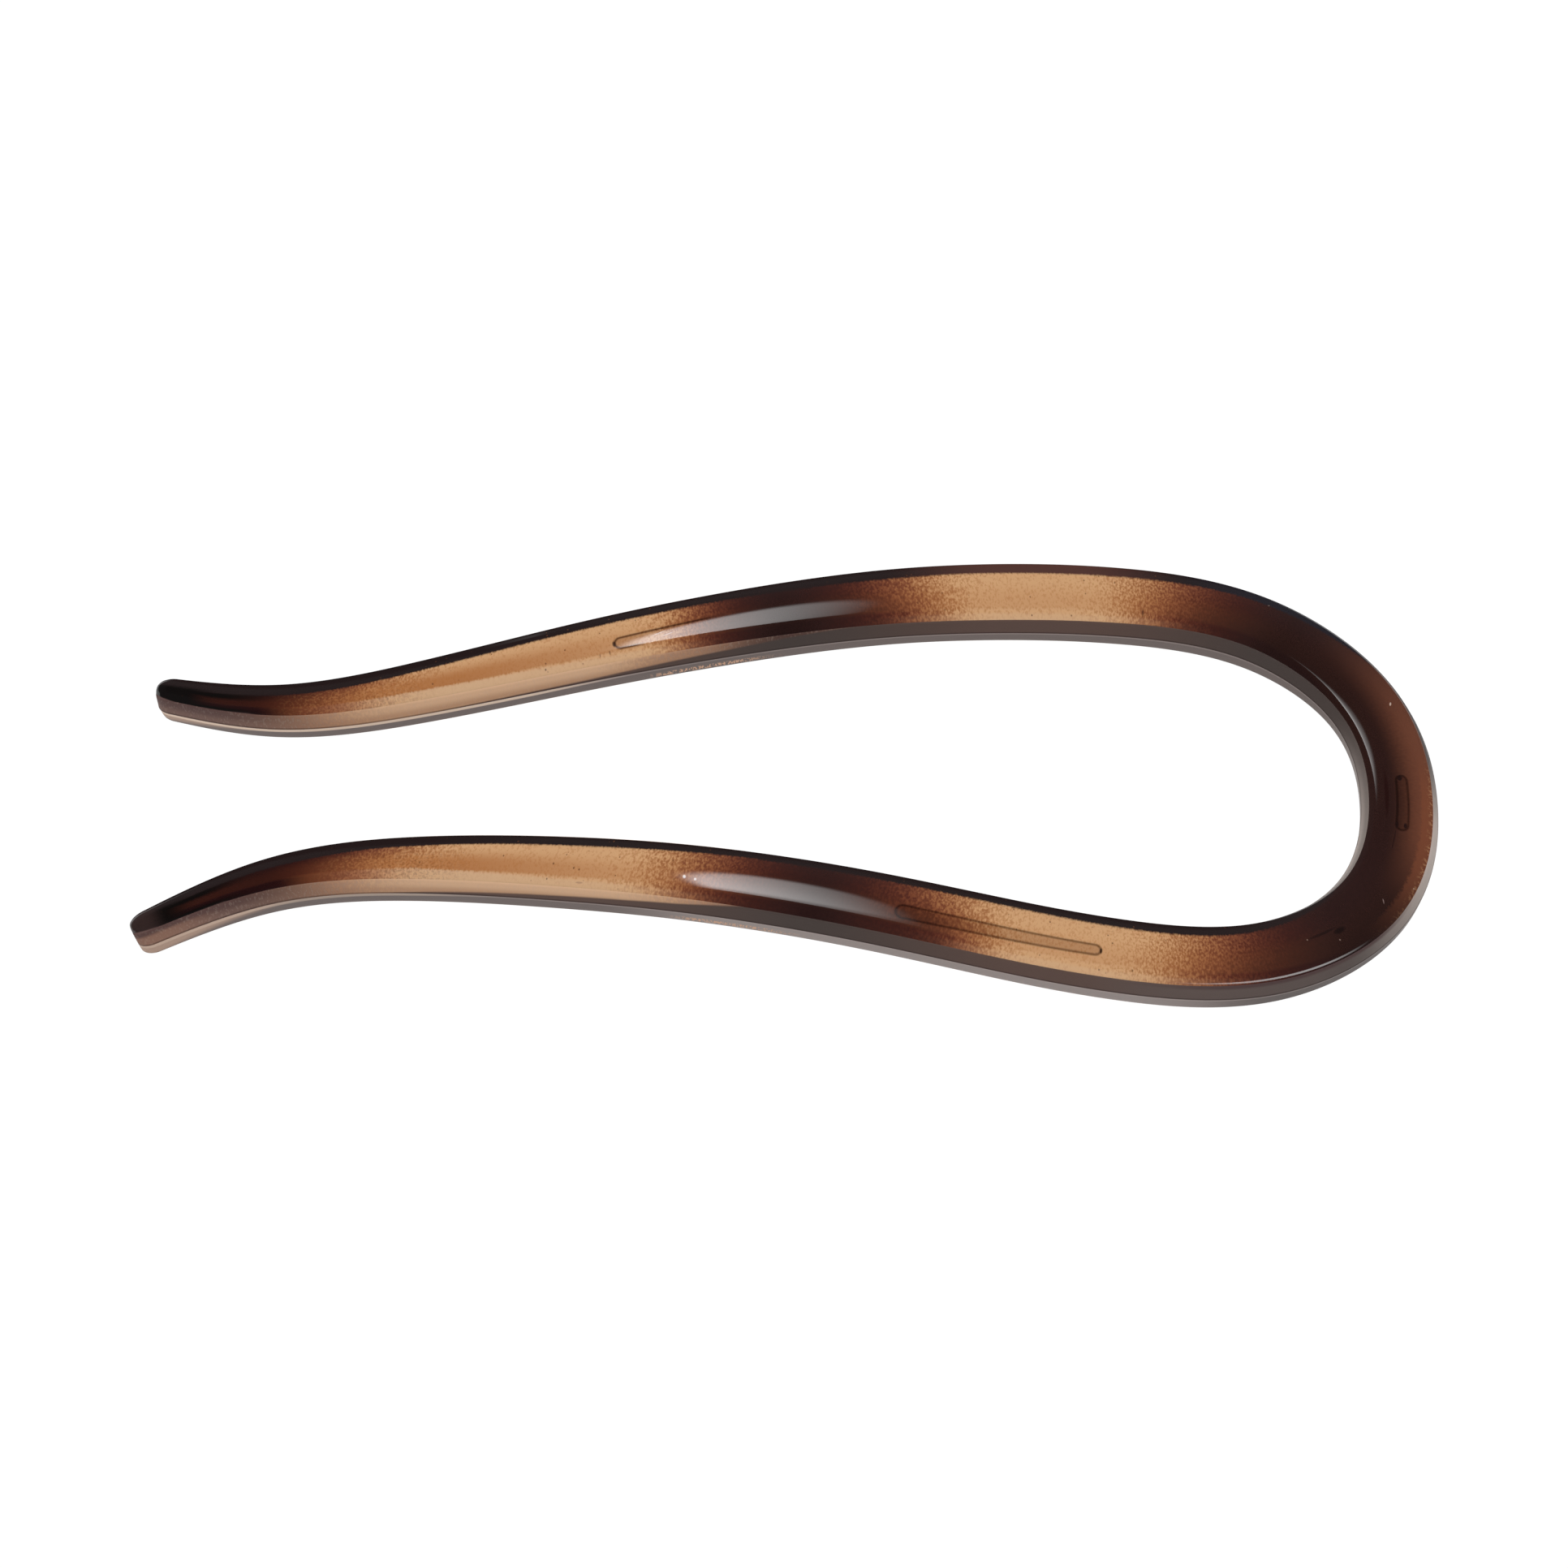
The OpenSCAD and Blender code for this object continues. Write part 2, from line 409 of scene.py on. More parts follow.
def ramp(value, stops, easing="LINEAR"):
    made = addNode(value.id_data, "ShaderNodeValToRGB", None, {"Fac": value})
    colours = made.color_ramp
    colours.interpolation = easing
    while len(colours.elements) < len(stops):
        colours.elements.new(0.5)
    for element, (position, colour) in zip(colours.elements, stops):
        element.position = position
        element.color = colour
    return made.outputs["Color"]


def alongCurve(along, points, length=300.0, lowest=-1.0, span=4.0):
    # straight lines between (millimetres along, value) points, for values from the lowest up by the span
    stops = [(at / length, ((value - lowest) / span,) * 3 + (1,)) for at, value in points]
    return sloped(ramp(maths("DIVIDE", along, length), stops), span, lowest)


def splitVector(vector):
    return tuple(addNode(vector.id_data, "ShaderNodeSeparateXYZ", None, {0: vector}).outputs)


def scaled(vector, size):
    made = addNode(vector.id_data, "ShaderNodeVectorMath", {"operation": "MULTIPLY"}, {0: vector, 1: size})
    return made.outputs[0]


def noise(vector, detail=2.0, roughness=0.5):
    inputs = {"Vector": vector, "Scale": 1.0, "Detail": detail, "Roughness": roughness}
    return addNode(vector.id_data, "ShaderNodeTexNoise", None, inputs).outputs["Fac"]


def addRelief(shader, height, strength, depth=0.00003):
    # a very fine relief in the normal, as deep as given, in metres
    inputs = {"Height": height, "Strength": strength, "Distance": depth}
    bump = addNode(height.id_data, "ShaderNodeBump", None, inputs)
    feed(shader.inputs["Normal"], bump.outputs["Normal"])


def newGroup(name, inputs, outputs):
    # each socket is a number, apart from Flow and Colour
    group = bpy.data.node_groups.new(name, "ShaderNodeTree")
    kinds = {"Flow": "NodeSocketVector", "Colour": "NodeSocketColor"}
    for way, labels in (("INPUT", inputs), ("OUTPUT", outputs)):
        for label in labels:
            kind = kinds.get(label, "NodeSocketFloat")
            group.interface.new_socket(label, in_out=way, socket_type=kind)
    return group, group.nodes.new("NodeGroupInput").outputs, group.nodes.new("NodeGroupOutput").inputs


def placeGroup(group, *inputs):
    # the inputs are given in the order in which the group names them
    made = addNode(treeOf(inputs), "ShaderNodeGroup", {"node_tree": group}, dict(enumerate(inputs)))
    return made.outputs


def attribute(tree, name):
    return addNode(tree, "ShaderNodeAttribute", {"attribute_name": name}).outputs["Vector"]


def newMaterial(name, roughness, specular, coat, coatRoughness):
    made = bpy.data.materials.new(name)
    made.use_nodes = True
    shader = made.node_tree.nodes["Principled BSDF"]
    shader.inputs["Roughness"].default_value = roughness
    shader.inputs["Specular IOR Level"].default_value = specular
    shader.inputs["Coat Weight"].default_value = coat
    shader.inputs["Coat Roughness"].default_value = coatRoughness
    return made, made.node_tree, shader


def shortForms(values, along):
    # for one material: a mask from named ranges, and a named colour laid over another
    def zone(name, value=along):
        return zones(value, *values[name])

    def paint(colour, share, name, way="MIX"):
        return blendColours(share, colour, linear(*values[name]), way)

    return zone, paint


# Bands of pigment along the bar. Distances are millimetres along it, from the tip of the +Y leg.

bandValues = {
    # each dark band: where it starts, where it is full, where it lessens and where it ends
    "bands": [(-20, -10, 10, 35), (50, 66, 66, 88), (95, 119, 160, 187), (192, 216, 212, 236),
              (246, 271, 300, 310)],
    "fullPigment": 0.93,
    # how strongly the grain shows, and how much more where a band starts or ends
    "grainStrength": 0.80,
    "grainMore": 2.4,
    "colours": [
        (0.00, (209, 163, 119)),
        (0.12, (195, 145, 101)),
        (0.28, (163, 108, 70)),
        (0.45, (127, 73, 49)),
        (0.62, (90, 46, 34)),
        (0.78, (64, 32, 27)),
        (0.92, (47, 27, 25)),
        (1.00, (26, 15, 14)),
    ],
}


def makeBandGroup():
    group, given, result = newGroup("tortoiseBands", ["Along", "Grain", "Grain Share", "Lean"],
                                    ["Colour", "Pigment"])
    values = bandValues
    pigment = times(zones(given["Along"], *values["bands"]), values["fullPigment"])

    # the lean adds pigment where a band starts or ends, and none where it is full or absent
    unsettled = times(pigment, minus(1.0, pigment))
    pigment = sloped(unsettled, given["Lean"], pigment)
    grain = times(minus(given["Grain"], 0.5), given["Grain Share"],
                  minus(1.0, pigment))
    strength = sloped(unsettled, values["grainMore"], values["grainStrength"])
    stops = [(place, linear(*colour)) for place, colour in values["colours"]]
    feed(result["Pigment"], pigment)
    feed(result["Colour"], ramp(sloped(grain, strength, pigment), stops))
    return group


# Pigment grain: fine flakes drawn out across the leg, slow clouds along it, and sparse dark specks

grainValues = {
    # how many there are in each millimetre along, out and up
    "finePerMm": (5.0, 2.8, 2.8),
    "cloudsPerMm": (0.10, 0.5, 0.5),
    "specksPerMm": (1.9, 1.3, 1.3),
    "fineRange": (0.25, 0.75),
    # specks come in the cells above this share, and grow with it by this much, from this least size
    "speckChosen": (0.5, 1.0),
    "speckSizes": (0.24, 0.001),
    "speckEdge": (1.0, 0.4),
}


def makeGrainGroup():
    group, given, result = newGroup("pigmentGrain", ["Flow"], ["Grain", "Cloud", "Specks"])
    values = grainValues
    fine = noise(scaled(given["Flow"], values["finePerMm"]), 1.0)
    feed(result["Grain"], step(fine, *values["fineRange"]))
    feed(result["Cloud"], noise(scaled(given["Flow"], values["cloudsPerMm"])))
    cells = addNode(group, "ShaderNodeTexVoronoi", {"feature": "F1"},
                    {"Vector": scaled(given["Flow"], values["specksPerMm"]), "Scale": 1.0})
    chosen = step(splitVector(cells.outputs["Color"])[0], *values["speckChosen"])
    size = sloped(chosen, *values["speckSizes"])
    inside = maths("DIVIDE", cells.outputs["Distance"], size)
    feed(result["Specks"], step(inside, *values["speckEdge"]))
    return group


# A long bubble under the surface: a tapered capsule, drawn by its outline

bubbleEdge = (0.0, 0.15)  # from none to full inside it, in millimetres from its outline


def makeBubbleGroup():
    group, given, result = newGroup(
        "bubbleOutline",
        ["Along", "Out", "Start", "End", "Start Out", "End Out", "Start Radius", "End Radius", "Line"],
        ["Outline", "Inside", "Share", "Aside"])
    length = minus(given["End"], given["Start"])
    walked = minus(given["Along"], given["Start"])
    share = maths("DIVIDE", walked, length, clamp=True)

    def tapered(first, last):
        return sloped(share, minus(given[last], given[first]), given[first])

    past = minus(walked, times(share, length))
    aside = minus(given["Out"], tapered("Start Out", "End Out"))
    depth = minus(tapered("Start Radius", "End Radius"), diagonal(past, aside))
    feed(result["Outline"], step(maths("ABSOLUTE", depth), given["Line"], 0.0))
    feed(result["Inside"], step(depth, *bubbleEdge))
    feed(result["Share"], share)
    feed(result["Aside"], aside)
    return group


# A small mark on the surface: a soft oval spot, turned from along the leg towards the outside

markEdge = (1.0, 0.4)  # from none to full, as shares of its size


def makeMarkGroup():
    group, given, result = newGroup(
        "smallMark", ["Along", "Out", "At Along", "At Out", "Length", "Width", "Turn"], ["Mask"])
    onward = minus(given["Along"], given["At Along"])
    outward = minus(given["Out"], given["At Out"])
    cosine, sine = maths("COSINE", given["Turn"]), maths("SINE", given["Turn"])
    lengthways = maths("ADD", times(onward, cosine), times(outward, sine))
    sideways = minus(times(outward, cosine), times(onward, sine))
    distance = diagonal(maths("DIVIDE", lengthways, given["Length"]),
                        maths("DIVIDE", sideways, given["Width"]))
    feed(result["Mask"], step(distance, *markEdge))
    return group


bandGroup = makeBandGroup()
grainGroup = makeGrainGroup()
bubbleGroup = makeBubbleGroup()
markGroup = makeMarkGroup()
print("node groups:", len(bpy.data.node_groups))


# Polished top face

topValues = {
    "finish": (0.45, 0.0, 1.0, 0.06),  # as newMaterial takes it
    # ranges along the bar, in millimetres, as zones takes them
    "legTips": [(62, 26), (222, 258)],
    "darkerPlace": [(186, 194, 201, 210)],
    "redTips": [(26, 12), (255, 268)],
    "litPlaces": [(12, 18, 19, 26), (254, 261, 264, 269)],
    "flakyPlaces": [(13, 19, 23, 32), (246, 255, 260, 266)],
    "bend": [(119, 136, 145, 156)],
    "bendEdge": [(136, 143, 145, 160)],
    "rimWarm": [(76, 88, 96, 108)],
    "rimCool": [(104, 114, 122, 134)],
    "blackTips": [(16, 8), (270, 277)],
    "blackEnds": [(8, 4), (277, 281)],
    "veiledEnd": [(280.5, 283)],
    "dullTips": [(56, 34), (236, 256)],
    "dullPlace": [(196, 206, 224, 232)],
    # ranges across the top, from -1 at its near edge to 1 at its far edge
    "leanSide": [(0.45, -0.75)],
    "stripe": [(-0.72, -0.60, -0.40, 0.30)],
    "litSide": [(-0.58, -0.70)],
    "flakySide": [(0.30, -0.15)],
    "blackEdge": [(-0.70, -0.86)],
    "glossySide": [(0.92, 0.76)],
    "dullSide": [(0.36, 0.56)],
    "dullNearSide": [(-0.50, -0.60)],
    # ranges from the inside of the bow, -1, to the outside, 1
    "bendSide": [(-0.40, 0.75)],
    "bendShoulder": [(0.52, 0.66)],
    "bendFleckSide": [(0.74, 0.96)],
    # ranges past the start of the cream, the start of the rim and the limit of the satin
    "cream": [(0.05, -0.05)],
    "rim": [(-0.05, 0.06)],
    "blackBelowRim": [(-0.42, -0.16, -0.04, 0.1)],
    "blackToRim": [(0.3, 0.0)],
    "satin": [(0.04, -0.04)],
    # ranges of the grain
    "paleFlakes": [(0.52, 0.62)],
    "darkFlakes": [(0.48, 0.38)],
    "bendFlecks": [(0.60, 0.85)],
    # how much darker the near side is where a band lessens, at the darker place and near the tips
    "lean": 0.55,
    "leanAtPlace": 0.8,
    "leanAtTips": -1.15,
    # how ragged the grain and the clouds make the borders
    "ragged": 0.03,
    "raggedShoulder": 0.08,
    "raggedBend": 0.1,
    "cloudy": 0.12,
    # the stripe's and the cream's strength, what the tips add, and where the cream starts
    "stripeShares": (0.7, 0.25),
    "creamShares": (0.45, 0.45),
    "creamStart": (0.15, -0.80),
    "grainShare": 0.30,
    "litShare": 0.17,
    "paleFlakesShare": 0.12,
    "darkFlakesShare": 0.26,
    "bendFleckShare": 0.6,
    "endShare": 0.8,
    "speckShare": 0.75,
    "dullShare": 0.5,
    # where the painted dark rim starts, as a share of the way across to the far top edge
    "rimStart": [(0, -0.16), (8, -0.08), (20, 0.09), (30, 0.27), (40, 0.41), (50, 0.48), (60, 0.52),
                 (78, 0.50), (84, 0.54), (106, 0.53), (114, 0.57), (140, 0.65), (168, 0.60), (174, 0.56),
                 (186, 0.60), (198, 0.65), (222, 0.65), (228, 0.58), (234, 0.52), (247, 0.45),
                 (259, 0.29), (266, 0.09), (276, -0.04), (285, -0.1)],
    # where the satin of the wall comes over each tip's near edge: how the limit goes along the bar, in
    # millimetres, and where it ends
    "satinLimits": [(-0.05, -0.78, (11, 20)), (0.05, -15.0, (275, 266))],
    "satinLeast": -0.93,
    "stripeColour": (172, 110, 63),
    "creamLightColour": (210, 173, 138),
    "rimColour": (38, 28, 28),
    "rimWarmColour": (84, 54, 48),
    "rimCoolColour": (36, 33, 40),
    "bendColour": (108, 64, 47),
    "bendEdgeColour": (118, 68, 47),
    "bendFleckColour": (182, 134, 96),
    "satinColour": (110, 86, 82),
    "tipRedColour": (190, 162, 180),
    "litColour": (206, 122, 70),
    "paleFlakesColour": (222, 160, 104),
    "darkFlakesColour": (84, 40, 28),
    "tipEndColour": (58, 43, 41),
    "blackColour": (15, 11, 10),
    "speckColour": (95, 60, 40),
    # what the colour is multiplied by in a bubble's outline, and inside it
    "bubbleColour": (112, 96, 90),
    "bubbleInsideColour": (206, 198, 194),
    "bubbleLine": 0.24,
    # orange peel, strokes and flakes in each millimetre along, out and up
    "peelPerMm": (1.44, 0.9, 1.0),
    "strokesPerMm": (5.0, 0.6, 0.6),
    "flakesPerMm": (4.0, 4.8, 4.8),
    "strokeShare": 0.25,
    "relief": 0.35,
    "bubbleSides": (-0.1, 0.1),
    # each bubble: how strongly its outline shows, at which shares of its length the near side and the
    # far side of it fade out, how dark it is inside, and then its start and end, with how far out they
    # are and their radii
    "bubbles": [
        (0.95, (0.24, 0.10), (0.87, 0.63), 0.40, (49.75, 62.0, -1.27, -0.95, 0.60, 0.85)),
        (0.80, (1.42, 1.28), (1.42, 1.18), 0.55, (186.9, 205.6, 1.00, 1.02, 0.56, 0.74)),
        (0.75, (1.42, 1.28), (1.42, 1.18), 0.45, (140.2, 145.9, 0.05, 0.08, 0.54, 0.60)),
    ],
    # small dark and light marks, and painted glints: along, out, length, width, turn in degrees, strength,
    # and colour
    "marksAndGlints": [
        (49.05, -1.27, 0.22, 0.45, 0, 0.8, (35, 20, 18)),
        (186.3, 1.05, 0.16, 0.42, 0, 0.9, (30, 16, 14)),
        (139.95, -0.1, 0.45, 0.34, 0, 0.9, (30, 16, 16)),
        (145.9, -0.45, 0.5, 0.22, 0, 0.9, (30, 16, 16)),
        (145.9, 0.40, 0.45, 0.24, 0, 0.9, (30, 16, 16)),
        (147.8, -0.52, 2.0, 0.1, 0, 0.7, (38, 20, 18)),
        (161.6, 0.75, 0.9, 0.42, 0, 0.8, (24, 14, 14)),
        (163.4, 0.25, 2.2, 0.22, 0, 0.6, (26, 15, 15)),
        (142.0, -1.55, 4.0, 0.28, 0, 0.7, (34, 12, 11)),
        (131.0, 1.77, 0.30, 0.11, -40, 0.9, (200, 175, 160)),
        (115.5, 2.23, 0.10, 0.12, 0, 0.5, (150, 130, 120)),
        (165.2, 0.26, 0.10, 0.10, 0, 0.6, (170, 145, 130)),
        (162.2, 1.63, 0.09, 0.12, 0, 0.6, (160, 135, 125)),
        (152.5, 2.97, 0.10, 0.12, 0, 0.6, (170, 140, 120)),
        (155.6, 1.20, 0.36, 0.07, 45, 0.5, (170, 145, 140)),
        (102.8, -2.4, 0.12, 0.5, 0, 0.7, (60, 38, 30)),
        (41.9, -2.40, 0.12, 0.16, 0, 0.7, (60, 38, 30)),
        (48.5, -2.1, 0.1, 0.3, 0, 0.6, (90, 60, 45)),
        (47.5, -2.2, 0.08, 0.25, 0, 0.6, (90, 60, 45)),
        (240.4, 2.40, 0.1, 0.14, 0, 0.7, (80, 55, 45)),
        (237.1, 2.6, 0.5, 0.12, 0, 0.5, (150, 110, 85)),
        # the last four: painted glints at the ends of the highlight on each leg
        (226.9, 1.09, 0.20, 0.26, 20, 0.9, (236, 228, 226)),
        (225.8, 1.24, 0.16, 0.20, 0, 0.8, (236, 228, 226)),
        (53.6, -1.02, 0.9, 0.06, 12, 0.5, (226, 214, 208)),
        (54.4, -1.32, 0.8, 0.06, 12, 0.4, (226, 214, 208)),
    ],
}


def makeTopMaterial():
    values = topValues
    made, tree, shader = newMaterial("tortoisePolished", *values["finish"])
    flow = attribute(tree, "flow")
    along, out = splitVector(flow)[:2]
    across, far = splitVector(attribute(tree, "share"))[:2]
    zone, paint = shortForms(values, along)
    grain = placeGroup(grainGroup, flow)
    grainy = minus(grain["Grain"], 0.5)

    # the near side is darker where a band lessens, except near the tips, and most of all at one place
    legTip = zone("legTips")
    lean = sloped(zone("darkerPlace"), values["leanAtPlace"], values["lean"])
    lean = times(zone("leanSide", far), sloped(legTip, values["leanAtTips"], lean))
    bands = placeGroup(bandGroup, along, grain["Grain"], values["grainShare"], lean)
    colour = bands["Colour"]
    clear = maths("SUBTRACT", 1.0, bands["Pigment"], clamp=True)

    # deeper orange along the middle, then painted light along the near side: cream where light gathered by
    # the near wall comes up through the top
    wavering = sloped(minus(grain["Cloud"], 0.5), values["cloudy"], far)
    wavering = sloped(grainy, values["ragged"], wavering)
    stripe = times(zone("stripe", wavering), sloped(legTip, *values["stripeShares"]), clear)
    colour = paint(colour, stripe, "stripeColour")
    pastStart = minus(wavering, sloped(legTip, *values["creamStart"]))
    creamShare = sloped(legTip, *values["creamShares"])
    cream = times(zone("cream", pastStart), clear, clear, clear, creamShare)
    colour = paint(colour, cream, "creamLightColour")

    # darker and redder towards the tips, and lighter again along the near shoulder, as painted light
    colour = paint(colour, zone("redTips"), "tipRedColour", "MULTIPLY")
    lit = times(zone("litPlaces"), zone("litSide", far), values["litShare"])
    colour = paint(colour, lit, "litColour")

    # coarser pale and dark flakes, where the brown of each tip begins
    flaky = times(zone("flakyPlaces"), zone("flakySide", far))
    flake = noise(scaled(flow, values["flakesPerMm"]), 1.0)
    for name in ("paleFlakes", "darkFlakes"):
        flakes = times(flaky, zone(name, flake), values[name + "Share"])
        colour = paint(colour, flakes, name + "Colour")

    # painted light: the outer side of the bend is lighter where light comes through it, most of all along
    # its edge, with pale flecks there
    bendSide = zone("bendSide", sloped(grainy, values["raggedBend"], across))
    colour = paint(colour, times(zone("bend"), bendSide), "bendColour")
    bendEdge = zone("bendEdge")
    shoulder = zone("bendShoulder", sloped(grainy, values["raggedShoulder"], across))
    colour = paint(colour, times(bendEdge, shoulder), "bendEdgeColour")
    flecks = times(zone("bendFleckSide", across), zone("bendFlecks", grain["Grain"]))
    colour = paint(colour, times(bendEdge, flecks, values["bendFleckShare"]), "bendFleckColour")

    # painted shade: a dark rim along the far side, where the wall is seen through the top
    pastRim = minus(sloped(grainy, values["ragged"], far),
                    alongCurve(along, values["rimStart"]))
    rimColour = paint(linear(*values["rimColour"]), zone("rimWarm"), "rimWarmColour")
    rimColour = paint(rimColour, zone("rimCool"), "rimCoolColour")
    colour = blendColours(zone("rim", pastRim), colour, rimColour)

    # black tips: along the near edge and below the rim, which leaves a dark red wedge, and round the end
    sides = most(zone("blackEdge", far), zone("blackBelowRim", pastRim))
    end = times(zone("blackEnds"), zone("blackToRim", pastRim))
    colour = paint(colour, most(times(zone("blackTips"), sides), end), "blackColour")
    colour = paint(colour, times(zone("veiledEnd"), values["endShare"]), "tipEndColour")
    colour = paint(colour, times(grain["Specks"], clear, values["speckShare"]), "speckColour")

    for strength, nearFade, farFade, darkness, sizes in values["bubbles"]:
        bubble = placeGroup(bubbleGroup, along, out, *sizes, values["bubbleLine"])
        colour = paint(colour, times(bubble["Inside"], darkness), "bubbleInsideColour", "MULTIPLY")
        nearPart, farPart = (step(bubble["Share"], *fade) for fade in (nearFade, farFade))
        shown = mixed(step(bubble["Aside"], *values["bubbleSides"]), nearPart, farPart)
        outline = times(bubble["Outline"], strength, shown)
        colour = paint(colour, outline, "bubbleColour", "MULTIPLY")
    # small marks, and glints painted as highlights
    for atAlong, atOut, length, width, turn, strength, markColour in values["marksAndGlints"]:
        mark = placeGroup(markGroup, along, out, atAlong, atOut, length, width, math.radians(turn))
        colour = blendColours(times(mark["Mask"], strength), colour, linear(*markColour))

    # the satin of the wall comes over the near edge of each tip
    limits = [minus(most(sloped(along, slope, start), values["satinLeast"]),
                    step(along, *ending)) for slope, start, ending in values["satinLimits"]]
    satin = zone("satin", minus(far, most(*limits)))
    feed(shader.inputs["Base Color"], paint(colour, satin, "satinColour"))

    # no gloss on the far rounding and the satin, and less on the far shoulder near the tips and along
    # the near side of the highlight on the -Y leg
    dullTips = times(zone("dullTips"), zone("dullSide", far))
    dullPlace = times(zone("dullPlace"), zone("dullNearSide", far), values["dullShare"])
    gloss = times(zone("glossySide", far),
                  *[minus(1.0, dull) for dull in (dullTips, dullPlace, satin)])
    feed(shader.inputs["Coat Weight"], gloss)

    # fine strokes across the leg in the polish, over a slight orange peel
    peel = noise(scaled(flow, values["peelPerMm"]))
    strokes = noise(scaled(flow, values["strokesPerMm"]), 2.0, 0.6)
    addRelief(shader, sloped(strokes, values["strokeShare"], peel), values["relief"])
    return made


# Satin walls and underside

wallValues = {
    "finish": (0.5, 0.15, 0.0, 0.2),
    # ranges along the bar, in millimetres, as zones takes them
    "shiftOnward": [(60, 50)],
    "shiftBack": [(240, 250)],
    "innerBend": [(128, 152, 152, 172)],
    "outerBend": [(136, 146, 147, 165)],
    "besideBend": [(158, 166, 178, 190)],
    "bendTop": [(152, 161, 172, 186)],
    "tips": [(24, 8), (262, 278)],
    "tipEnd": [(274, 282)],
    "stripLower": [(168, 184, 222, 236)],
    "stripBeside": [(152, 160, 169, 177)],
    "stripBend": [(124, 146, 149, 158)],
    "stripTip": [(20, 10), (262, 272)],
    "copper": [(51, 54, 60, 66), (214, 219, 225, 229)],
    "lineTips": [(52, 38), (244, 256)],
    "lineUpperTip": [(56, 44)],
    # ranges up the wall: 0 underside, 1 parting line, 2 top edge
    "low": [(1.75, 1.20)],
    "topPart": [(1.68, 1.88)],
    "underTopPart": [(1.85, 1.55)],
    "overLine": [(0.97, 1.03)],
    "shadow": [(1.00, 1.03, 1.07, 1.12)],
    "belowLine": [(1.01, 0.97)],
    "glints": [(0.10, 0.28, 0.42, 0.60)],
    "under": [(0.12, 0.0)],
    # from the inside of the bow to the outside, and past the painted shade, the tips' wedge and the pale
    # line
    "outerSide": [(-0.5, 0.5)],
    "pastWallShadow": [(-0.07, 0.09)],
    "peach": [(0.15, 0.75)],
    "paleLine": [(0.0, 0.1)],
    # ranges of the grain
    "sparkles": [(0.62, 0.95)],
    "glintGrain": [(0.4, 0.6)],
    # how high up the wall the painted shade reaches, at each distance along
    "wallShadowTop": [(0, 0.90), (26, 0.95), (36, 1.08), (46, 1.16), (52, 1.30), (60, 1.52), (68, 1.84),
                (76, 2.15), (219, 2.15), (223, 1.85), (227, 1.60), (232, 1.46), (243, 1.31),
                (253, 1.12), (260, 0.92)],
    # how the peach wedge of each tip goes along the bar, in millimetres
    "wedges": [(-0.06, 0.30), (0.06, -16.55)],
    # how far the bands on the walls lie nearer to the tips than on the top, in millimetres
    "bandShift": 4.6,
    "grainShare": 0.3,
    # pairs: how much a mask adds, and the strength without it
    "innerBendShares": (0.35, 0.40),
    "stripBendShares": (0.5, 0.5),
    "veilShares": (0.35, 0.35),
    "lineShares": (0.50, 0.36),
    "lineHeights": (-0.14, 0.80),
    "besideBendShare": 0.7,
    "creamShare": 0.8,
    "tipEndShare": 0.8,
    "sparkleShare": 0.10,
    "shadowShare": 0.55,
    "underShare": 0.3,
    "greyColour": (74, 65, 62),
    "brownColour": (98, 78, 71),
    "bendColour": (190, 176, 168),
    "creamLightColour": (226, 186, 152),
    "lowShadeColour": (218, 208, 204),
    "tipVeilColour": (104, 77, 75),
    "tipLowVeilColour": (140, 110, 101),
    "bendTopColour": (84, 66, 65),
    "besideBendColour": (104, 91, 87),
    "tipEndColour": (152, 114, 96),
    "stripColour": (120, 108, 104),
    "stripLowerColour": (160, 148, 144),
    "stripTipColour": (186, 156, 138),
    "stripBendColour": (196, 184, 178),
    "stripBesideColour": (104, 95, 92),
    "partingColour": (178, 160, 154),
    "partingTipColour": (240, 214, 192),
    "partingShadowColour": (52, 42, 40),
    "copperColour": (214, 170, 142),
    "sparkleColour": (214, 190, 172),
    "satinPerMm": (7.0, 7.0, 7.0),
    "relief": 0.3,
}


